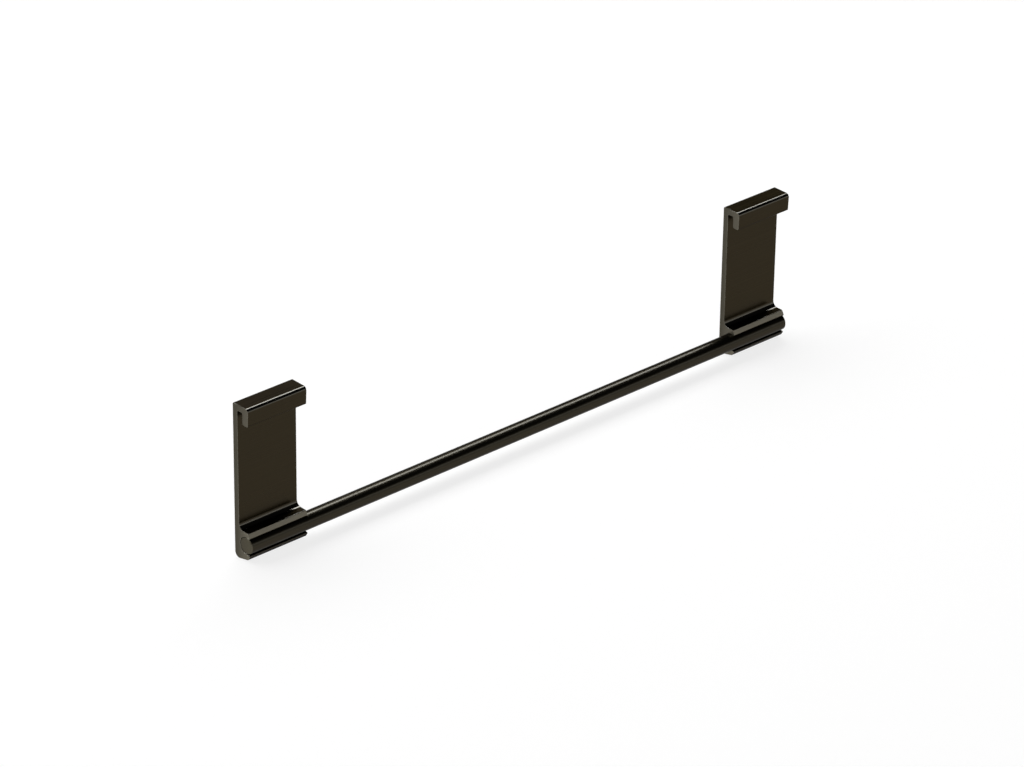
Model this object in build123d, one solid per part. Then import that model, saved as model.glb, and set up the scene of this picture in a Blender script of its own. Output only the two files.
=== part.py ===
"""Towel rail: a round rod held by two hooked brackets that hang over the lip of a wall rail.

Both brackets are lengths of one extruded section. X runs along the rod with 0 at mid-length, the side with
the rod faces -Y and Z is up. The origin is the middle of the hooks' seat, where the lip's top edge carries
the part.
"""

import os
from math import cos, radians, sin, tan

from build123d import *

# Overall sizes, in millimetres, with angles in degrees
overall_length = 400.0  # along the rod, over both brackets
bracket_width = 40.0  # the length of section that each bracket is cut to
seat_to_rod = 79.2  # from the hook's seat down to the rod's axis

# Rod
rod_diameter = 10.0
rod_end_chamfer = 0.4

# Hook at the top of the section
plate_thickness = 3.5
slot_width = 4.4
slot_depth = 7.0  # from the seat down to the tongue's tip
slot_corner_radius = 0.9
seat_thickness = 3.6  # the metal above the seat
tongue_thickness = 4.6
tongue_taper = 0.5  # how far the tongue's outer face leans in at its tip
tongue_outer_radius = 0.8
tongue_inner_radius = 1.0
hook_front_radius = 2.2
hook_back_radius = 1.0

# Channel at the foot of the section
rod_standoff = 5.9  # from the plate's inner face to the rod's axis
rod_clearance = 0.08
upper_lip_wall = 2.7  # above the rod
upper_lip_reach = 1.5  # of the lip's flat top past the rod's axis
upper_lip_nose_radius = 0.4  # between the flat top and the nose's sloping face
upper_lip_end_wall = 0.85  # at the thin end of the nose
upper_lip_end_angle = 60.5  # above the level through the rod's axis
cove_radius = 3.5  # between the plate and the upper lip
lower_lip_wall = 3.5  # straight below the rod's axis
lower_lip_reach = 3.1  # past the rod's axis
lower_lip_ledge_fall = 8.0
lower_lip_front_lean = 32.0
lower_lip_edge_radius = 0.5
lower_lip_toe_radius = 1.0
bottom_rise = 12.5  # of the underside, towards the rod side
heel_radius = 3.2
lip_edge_radius = 0.25

# Places in the section, as depth from the plain outer face and height above the hook's seat
slot_far = plate_thickness + slot_width
hook_depth = slot_far + tongue_thickness
rod_depth = plate_thickness + rod_standoff
rod_centre = Vector(rod_depth, -seat_to_rod)
bore_radius = rod_diameter / 2 + rod_clearance
seat_depth = plate_thickness + slot_width / 2


def along(angle):
    """The unit vector at an angle in degrees from the depth axis."""
    return Vector(cos(radians(angle)), sin(radians(angle)))


def lower_lip_corners(ledge_start):
    """The lower lip's front corner, its toe, and where the rising bottom meets the plain outer face."""
    front_depth = rod_depth + lower_lip_reach
    ledge_slope = tan(radians(lower_lip_ledge_fall))
    front = Vector(front_depth, ledge_start.Y - (front_depth - ledge_start.X) * ledge_slope)

    rise = tan(radians(bottom_rise))
    lean = tan(radians(lower_lip_front_lean))
    heel = Vector(0, rod_centre.Y - bore_radius - lower_lip_wall - rod_depth * rise)
    toe_drop = (front.Y - heel.Y - front.X * rise) / (1 - lean * rise)
    toe = Vector(front.X - toe_drop * lean, front.Y - toe_drop)
    return front, toe, heel


def bracket_section():
    """The extruded section: hook, plate and open channel, as one closed outline."""
    ledge_start = rod_centre + along(270 - lower_lip_ledge_fall) * bore_radius
    front, toe, heel = lower_lip_corners(ledge_start)
    lip_top = rod_centre.Y + bore_radius + upper_lip_wall
    lip_end_direction = along(upper_lip_end_angle)
    lip_end_outer = rod_centre + lip_end_direction * (bore_radius + upper_lip_end_wall)
    lip_end_inner = rod_centre + lip_end_direction * bore_radius
    corners = [
        (front, lower_lip_edge_radius),
        (toe, lower_lip_toe_radius),
        (heel, heel_radius),
        (Vector(0, seat_thickness), hook_back_radius),
        (Vector(hook_depth, seat_thickness), hook_front_radius),
        (Vector(hook_depth - tongue_taper, -slot_depth), tongue_outer_radius),
        (Vector(slot_far, -slot_depth), tongue_inner_radius),
        (Vector(slot_far, 0), slot_corner_radius),
        (Vector(plate_thickness, 0), slot_corner_radius),
        (Vector(plate_thickness, lip_top), cove_radius),
        (Vector(rod_depth + upper_lip_reach, lip_top), upper_lip_nose_radius),
    ]
    points = [ledge_start] + [point for point, radius in corners] + [lip_end_outer]
    outside = FilletPolyline(*points, radius=[radius for point, radius in corners])
    lip_end = Line(lip_end_outer, lip_end_inner)
    bore = ThreePointArc(lip_end_inner, rod_centre + along(180) * bore_radius, ledge_start)

    section = make_face([*outside.edges(), lip_end, bore])
    lip_corners = [section.vertices().sort_by_distance(point)[0] for point in (lip_end_outer, lip_end_inner)]
    return fillet(lip_corners, lip_edge_radius)


def bracket(outer_end_to_the_left):
    """One bracket, cut to length, with its outer end face at the rod's end."""
    start = bracket_width - overall_length / 2 if outer_end_to_the_left else overall_length / 2
    section_plane = Plane(origin=(start, seat_depth, 0), x_dir=(0, -1, 0), z_dir=(-1, 0, 0))
    return extrude(section_plane * bracket_section(), amount=bracket_width)


def rod():
    """The round rod, as long as the part, with a small chamfer at each end."""
    axis = Location((0, seat_depth - rod_depth, -seat_to_rod), (0, 90, 0))
    bar = axis * Cylinder(rod_diameter / 2, overall_length)
    return chamfer(bar.edges().filter_by(GeomType.CIRCLE), rod_end_chamfer)


nodes = {
    "left_bracket": bracket(outer_end_to_the_left=True),
    "right_bracket": bracket(outer_end_to_the_left=False),
    "rod": rod(),
}

os.makedirs("parts", exist_ok=True)
for name, solid in nodes.items():
    export_step(solid, f"parts/{name}.step")
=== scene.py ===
from math import cos, pi, radians, sin

import bpy
from mathutils import Matrix, Vector


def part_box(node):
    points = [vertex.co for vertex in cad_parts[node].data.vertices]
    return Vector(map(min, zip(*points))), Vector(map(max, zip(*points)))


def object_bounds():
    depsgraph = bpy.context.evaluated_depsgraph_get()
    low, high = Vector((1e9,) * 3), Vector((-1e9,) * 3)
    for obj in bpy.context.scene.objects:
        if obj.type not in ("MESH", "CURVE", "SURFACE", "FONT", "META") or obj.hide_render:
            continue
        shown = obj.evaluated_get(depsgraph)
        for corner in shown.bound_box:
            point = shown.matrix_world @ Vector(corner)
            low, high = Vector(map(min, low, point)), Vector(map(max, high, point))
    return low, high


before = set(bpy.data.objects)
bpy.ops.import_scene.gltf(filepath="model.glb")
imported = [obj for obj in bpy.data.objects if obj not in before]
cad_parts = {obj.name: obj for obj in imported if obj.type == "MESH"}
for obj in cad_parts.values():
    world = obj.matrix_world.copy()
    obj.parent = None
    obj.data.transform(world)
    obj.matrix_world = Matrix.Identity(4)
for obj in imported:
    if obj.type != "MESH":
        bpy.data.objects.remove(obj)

cad_low, cad_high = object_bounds()

# Camera, in degrees, metres, and millimetres of lens and sensor
VIEW_AZIMUTH = -42.53
VIEW_ELEVATION = 27.88
VIEW_ROLL = 0.772
VIEW_DISTANCE = 2.6499
VIEW_TARGET = Vector((-0.00688, 0.0, -0.05011))
VIEW_CLIP = (0.05, 100.0)
LENS = 168.68
SENSOR_WIDTH = 36.0

# Finishes: dark bronze anodising, with a painted highlight where faces turn up towards the strip light,
# rougher, paler cut faces and worn edges
BRACKET_FINISH = {
    "dark": (0.0215, 0.0156, 0.0067),
    "light": (0.0283, 0.0206, 0.0088),
    # painted highlight: a paler, more neutral colour, and a lower roughness, where faces turn up towards the
    # strip light
    "painted_highlight": (0.0480, 0.0440, 0.0350),
    "roughness": (0.27, 0.33),
    "highlight_roughness": 0.16,
    "cut_dark": (0.066, 0.059, 0.043),
    "cut_light": (0.189, 0.172, 0.131),
    "worn": (0.30, 0.28, 0.235),
    "glancing_tint": (0.35, 0.35, 0.35),
}
ROD_FINISH = {
    "dark": (0.0243, 0.0195, 0.0112),
    "light": (0.0288, 0.0231, 0.0134),
    # painted highlight zone: here a darker colour that dims the strip light's highlight on the rod
    "painted_highlight": (0.0200, 0.0172, 0.0108),
    "roughness": (0.27, 0.33),
    "highlight_roughness": 0.30,
    "cut_dark": (0.062, 0.054, 0.036),
    "cut_light": (0.086, 0.076, 0.050),
    "worn": (0.15, 0.138, 0.11),
    "glancing_tint": (0.5, 0.5, 0.5),
}
CUT_ROUGHNESS = (0.42, 0.58)
WORN_ROUGHNESS = 0.4
COAT_WEIGHT = 0.15
COAT_ROUGHNESS = 0.2
COAT_IOR = 1.5

# Fine detail: noise scales per metre, with one for each axis where the marks run one way
DYE_SCALE = 45.0
GRAIN_SCALE = 9000.0
WEAR_SCALE = 260.0
DIE_LINE_SCALES = (6.0, 1600.0, 1600.0)
SAW_MARK_SCALES = (1.0, 300.0, 5200.0)
FINE, FINER = 2.0, 3.0  # levels of detail in a noise
NOISE_SPREAD = (0.3, 0.7)  # where most values of a noise lie
DIE_LINES_IN_COLOUR = 0.5
GRAIN_IN_BUMP = 0.4
BUMP_STRENGTH = 0.08
BUMP_DISTANCE = 0.00005

# Cut faces pale towards the rod side, along Y in metres, and more so towards the foot, along Z
PALE_Y = (0.004, -0.006)
PALE_Z = (-0.02, -0.075)
PALENESS_AT_HOOK = 0.34
PALENESS_ADDED_AT_FOOT = 0.41
PALENESS_OF_SAW_MARKS = 0.2

# The sloping face of the upper lip's nose, cut as the ends are: degrees, and metres above the rod's axis
NOSE_TILT = 28.5
NOSE_HEIGHTS = (0.0047, 0.0080)

# How far a face's normal leans to a direction, as cosines: where a mask begins, and where it is full
END_LEAN = (0.5, 0.6)
NOSE_LEAN = (0.985, 0.995)
UPWARD_LEAN = (0.18, 0.32)
ROD_SIDE_LEAN = (-0.08, -0.20)

# Sawn edges, broken by a file: the radius in metres, and the wear on them
EDGE_BREAK = 0.00025
EDGE_SAMPLES = 8
WORN_LEAN = (0.99, 0.85)  # between the face's normal and the rounded one, as above
WORN_PATCHES = (0.35, 0.65)  # in the noise, from least worn to fully worn
LEAST_WEAR = 0.5

# Studio, in metres, degrees and radiance: elevation counts from the back, over the top, to the front
FLOOR_SIZE = 40.0
FLOOR_COLOUR = (0.98, 0.98, 0.98)
FLOOR_GLOW = 0.81
FLOOR_GLOW_IN_METAL = 0.85
WHITE = (1.0, 1.0, 1.0)
COOL_WHITE = (0.95, 1.0, 1.1)
KEY = {"size": (10.0, 2.0), "distance": 3.2, "elevation": 53.0, "radiance": 4.45}
STRIP = {"size": (6.2, 1.0), "distance": 3.2, "elevation": 68.0, "radiance": 16.6, "colour": COOL_WHITE}
PANEL = {"size": (5.8, 1.6), "distance": 4.0, "elevation": 30.0, "radiance": 0.5}
FRONT = {"size": (12.0, 1.0), "distance": 4.0, "elevation": 166.0, "radiance": 1.8}
HORIZON_RADIANCE = 0.9
STUDIO_RADIANCE = 0.02
HORIZON_FADE = (0.02, 0.12)  # of a direction's height


class Nodes:
    """A node tree that is filled by short calls."""

    def __init__(self, tree):
        self.tree = tree
        tree.nodes.clear()

    def add(self, kind, inputs=None, **settings):
        made = self.tree.nodes.new(kind)
        for name, value in settings.items():
            setattr(made, name, value)
        for name, value in (inputs or {}).items():
            self.set(made.inputs[name], value)
        return made

    def set(self, socket, value):
        """Links a socket to another one, or gives it a plain value."""
        if isinstance(value, bpy.types.NodeSocket):
            self.tree.links.new(value, socket)
        else:
            socket.default_value = value

    def math(self, operation, a, b=0.0, c=0.0):
        return self.add("ShaderNodeMath", {0: a, 1: b, 2: c}, operation=operation).outputs[0]

    def span(self, value, low, high, to_low=0.0, to_high=1.0):
        """Maps a value from low..high to to_low..to_high, clamped."""
        inputs = {"Value": value, "From Min": low, "From Max": high, "To Min": to_low, "To Max": to_high}
        return self.add("ShaderNodeMapRange", inputs).outputs["Result"]

    def blend(self, factor, a, b):
        """A colour between a and b."""
        made = self.add("ShaderNodeMix", data_type="RGBA")
        for socket, value in ((made.inputs[0], factor), (made.inputs[6], a), (made.inputs[7], b)):
            self.set(socket, value)
        return made.outputs[2]

    def between(self, factor, a, b):
        """A number between a and b."""
        return self.add("ShaderNodeMix", {0: factor, 2: a, 3: b}).outputs[0]

    def dot(self, a, b):
        return self.add("ShaderNodeVectorMath", {0: a, 1: b}, operation="DOT_PRODUCT").outputs["Value"]

    def parts(self, vector):
        """The X, Y and Z of a vector."""
        return self.add("ShaderNodeSeparateXYZ", {0: vector}).outputs

    def normal(self, kind="Normal"):
        return self.add("ShaderNodeNewGeometry").outputs[kind]

    def noise(self, vector, scale, detail):
        inputs = {"Vector": vector, "Scale": scale, "Detail": detail}
        return self.add("ShaderNodeTexNoise", inputs).outputs["Fac"]

    def marks(self, vector, scales, detail):
        """Marks from 0 to 1 that run along the axis with the smallest scale."""
        stretched = self.add("ShaderNodeMapping", {"Vector": vector, "Scale": scales}).outputs["Vector"]
        return self.span(self.noise(stretched, 1.0, detail), *NOISE_SPREAD)


def rgba(colour):
    return (*colour, 1.0)


def anodised_metal(name, finish):
    """Extruded or drawn metal, dyed dark bronze, with cut faces and worn edges of their own."""
    material = bpy.data.materials.new(name)
    material.use_nodes = True
    nodes = Nodes(material.node_tree)
    place = nodes.add("ShaderNodeTexCoord").outputs["Object"]
    rounded = nodes.add("ShaderNodeBevel", {"Radius": EDGE_BREAK}, samples=EDGE_SAMPLES).outputs["Normal"]
    cut = cut_faces(nodes, place)
    worn = worn_edges(nodes, place, rounded)
    long_colour, long_roughness, long_height = long_surface(nodes, place, finish)
    cut_colour, cut_roughness, cut_height = cut_surface(nodes, place, finish)

    colour = nodes.blend(cut, long_colour, cut_colour)
    roughness = nodes.between(cut, long_roughness, cut_roughness)
    bump = nodes.add("ShaderNodeBump", {
        "Height": nodes.between(cut, long_height, cut_height),
        "Strength": BUMP_STRENGTH,
        "Distance": BUMP_DISTANCE,
        "Normal": rounded,
    })
    shader = nodes.add("ShaderNodeBsdfPrincipled", {
        "Base Color": nodes.blend(worn, colour, rgba(finish["worn"])),
        "Metallic": 1.0,
        "Roughness": nodes.between(worn, roughness, WORN_ROUGHNESS),
        "Normal": bump.outputs["Normal"],
        "Coat Weight": COAT_WEIGHT,
        "Coat Roughness": COAT_ROUGHNESS,
        "Coat IOR": COAT_IOR,
        "Specular Tint": rgba(finish["glancing_tint"]),
    })
    nodes.add("ShaderNodeOutputMaterial", {"Surface": shader.outputs["BSDF"]})
    return material


def long_surface(nodes, place, finish):
    """Colour, roughness and bump of the long faces: uneven dye, die lines along X, a satin grain, and a
    painted highlight where faces turn up towards the strip light.
    """
    dye = nodes.noise(place, DYE_SCALE, FINER)
    grain = nodes.noise(place, GRAIN_SCALE, FINE)
    die_lines = nodes.marks(place, DIE_LINE_SCALES, FINER)
    streaks = nodes.between(DIE_LINES_IN_COLOUR, dye, die_lines)
    highlight_mask = highlight_facing_zone(nodes)

    colour = nodes.blend(streaks, rgba(finish["dark"]), rgba(finish["light"]))
    # painted highlight: the base colour is changed where faces turn up towards the strip light
    colour = nodes.blend(highlight_mask, colour, rgba(finish["painted_highlight"]))
    roughness = nodes.span(streaks, *NOISE_SPREAD, *finish["roughness"])
    roughness = nodes.between(highlight_mask, roughness, finish["highlight_roughness"])
    return colour, roughness, nodes.between(GRAIN_IN_BUMP, die_lines, grain)


def cut_surface(nodes, place, finish):
    """Colour, roughness and bump of the cut faces: saw marks, paler towards the rod side and the foot."""
    saw_marks = nodes.marks(place, SAW_MARK_SCALES, FINE)
    at = nodes.parts(place)
    foot = nodes.span(at["Z"], *PALE_Z)
    paleness = nodes.math("MULTIPLY_ADD", foot, PALENESS_ADDED_AT_FOOT, PALENESS_AT_HOOK)
    paleness = nodes.math("MULTIPLY", nodes.span(at["Y"], *PALE_Y), paleness)
    paleness = nodes.math("MULTIPLY_ADD", saw_marks, PALENESS_OF_SAW_MARKS, paleness)

    colour = nodes.blend(paleness, rgba(finish["cut_dark"]), rgba(finish["cut_light"]))
    roughness = nodes.span(saw_marks, 0.0, 1.0, *CUT_ROUGHNESS)
    return colour, roughness, saw_marks


def highlight_facing_zone(nodes):
    """The zone of the painted highlight: 1 where a face turns from upright to level on the rod side, as at
    the hook's front, 0 on flats.
    """
    normal = nodes.parts(nodes.normal())
    off_upright = nodes.span(normal["Z"], *UPWARD_LEAN)
    off_level = nodes.span(normal["Y"], *ROD_SIDE_LEAN)
    return nodes.math("MULTIPLY", off_upright, off_level)


def cut_faces(nodes, place):
    """1 on the sawn ends, the rod's end chamfers and the cut face of the upper lip's nose, 0 elsewhere."""
    normal = nodes.normal("True Normal")
    ends = nodes.span(nodes.math("ABSOLUTE", nodes.parts(normal)["X"]), *END_LEAN)
    tilt = radians(NOSE_TILT)
    nose = nodes.span(nodes.dot(normal, (0.0, -cos(tilt), sin(tilt))), *NOSE_LEAN)

    rod_low, rod_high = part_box("rod")
    low, high = [(rod_low.z + rod_high.z) / 2 + height for height in NOSE_HEIGHTS]
    on_lip = nodes.math("COMPARE", nodes.parts(place)["Z"], (low + high) / 2, (high - low) / 2)
    return nodes.math("MAXIMUM", ends, nodes.math("MULTIPLY", nose, on_lip))


def worn_edges(nodes, place, rounded):
    """Up to 1, in patches, where the rounded normal leaves the face's own, along the sharp edges."""
    edges = nodes.span(nodes.dot(nodes.normal(), rounded), *WORN_LEAN)
    patches = nodes.span(nodes.noise(place, WEAR_SCALE, FINER), *WORN_PATCHES, LEAST_WEAR, 1.0)
    return nodes.math("MULTIPLY", edges, patches)


def floor_material():
    """A pale matt floor that shows white, in reflections too, and keeps the shadow."""
    material = bpy.data.materials.new("studio_floor")
    material.use_nodes = True
    nodes = Nodes(material.node_tree)
    path = nodes.add("ShaderNodeLightPath").outputs
    seen = nodes.math("MAXIMUM", path["Is Camera Ray"], path["Is Transmission Ray"])
    seen = nodes.math("MULTIPLY", seen, FLOOR_GLOW)
    mirrored = nodes.math("MULTIPLY", path["Is Glossy Ray"], FLOOR_GLOW_IN_METAL)
    matt = nodes.add("ShaderNodeBsdfDiffuse", {"Color": rgba(FLOOR_COLOUR)})
    glow = nodes.add("ShaderNodeEmission", {"Color": rgba(WHITE), "Strength": 1.0})
    share = nodes.math("MAXIMUM", seen, mirrored)
    mixed = nodes.add("ShaderNodeMixShader", {0: share, 1: matt.outputs[0], 2: glow.outputs[0]})
    nodes.add("ShaderNodeOutputMaterial", {"Surface": mixed.outputs[0]})
    return material


def dress(pieces):
    """Gives each piece of the frame its finish."""
    bracket_finish = anodised_metal("bracket_finish", BRACKET_FINISH)
    rod_finish = anodised_metal("rod_finish", ROD_FINISH)
    finishes = {"left_bracket": bracket_finish, "right_bracket": bracket_finish, "rod": rod_finish}
    for name, finish in finishes.items():
        pieces[name].data.materials.clear()
        pieces[name].data.materials.append(finish)


def studio_floor():
    """The floor, level with the lowest point of the part."""
    bpy.ops.mesh.primitive_plane_add(size=FLOOR_SIZE, location=(0.0, 0.0, cad_low.z))
    floor = bpy.context.object
    floor.name = "studio_floor"
    floor.data.materials.append(floor_material())


def area_light(name, size, distance, elevation, radiance, colour=WHITE):
    """A rectangular light, long along X, that faces the origin."""
    data = bpy.data.lights.new(name, "AREA")
    data.shape = "RECTANGLE"
    data.size, data.size_y = size
    data.energy = radiance * pi * size[0] * size[1]
    data.color = colour
    light = bpy.data.objects.new(name, data)
    side = Vector((1.0, 0.0, 0.0))
    outwards = Vector((0.0, cos(radians(elevation)), sin(radians(elevation))))
    light.location = outwards * distance
    light.rotation_euler = Matrix((side, outwards.cross(side), outwards)).transposed().to_euler()
    bpy.context.scene.collection.objects.link(light)
    return light


def studio_lights():
    """A key light for the floor, a strip that only the metal mirrors, and dim panels behind and in front."""
    area_light("key", **KEY).visible_glossy = False
    area_light("strip", **STRIP).visible_diffuse = False
    area_light("panel", **PANEL)
    area_light("front", **FRONT)


def studio_world():
    """A dim room that pales towards the horizon."""
    world = bpy.data.worlds.new("studio_world")
    world.use_nodes = True
    nodes = Nodes(world.node_tree)
    direction = nodes.add("ShaderNodeTexCoord").outputs["Generated"]
    radiance = nodes.span(nodes.parts(direction)["Z"], *HORIZON_FADE, HORIZON_RADIANCE, STUDIO_RADIANCE)
    background = nodes.add("ShaderNodeBackground", {"Color": rgba(WHITE), "Strength": radiance})
    nodes.add("ShaderNodeOutputWorld", {"Surface": background.outputs[0]})
    bpy.context.scene.world = world


def photo_camera():
    """The camera at the photograph's angle."""
    azimuth, elevation = radians(VIEW_AZIMUTH), radians(VIEW_ELEVATION)
    back = Vector((sin(azimuth) * cos(elevation), -cos(azimuth) * cos(elevation), sin(elevation)))
    data = bpy.data.cameras.new("photo_camera")
    data.sensor_width = SENSOR_WIDTH
    data.lens = LENS
    data.clip_start, data.clip_end = VIEW_CLIP
    camera = bpy.data.objects.new("photo_camera", data)
    camera.location = VIEW_TARGET + back * VIEW_DISTANCE
    level = (-back).to_track_quat("-Z", "Y").to_matrix()
    camera.rotation_euler = (level @ Matrix.Rotation(radians(VIEW_ROLL), 3, "Z")).to_euler()
    bpy.context.scene.collection.objects.link(camera)
    bpy.context.scene.camera = camera


bpy.context.scene.view_settings.view_transform = "Standard"
dress(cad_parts)
studio_floor()
studio_lights()
studio_world()
photo_camera()
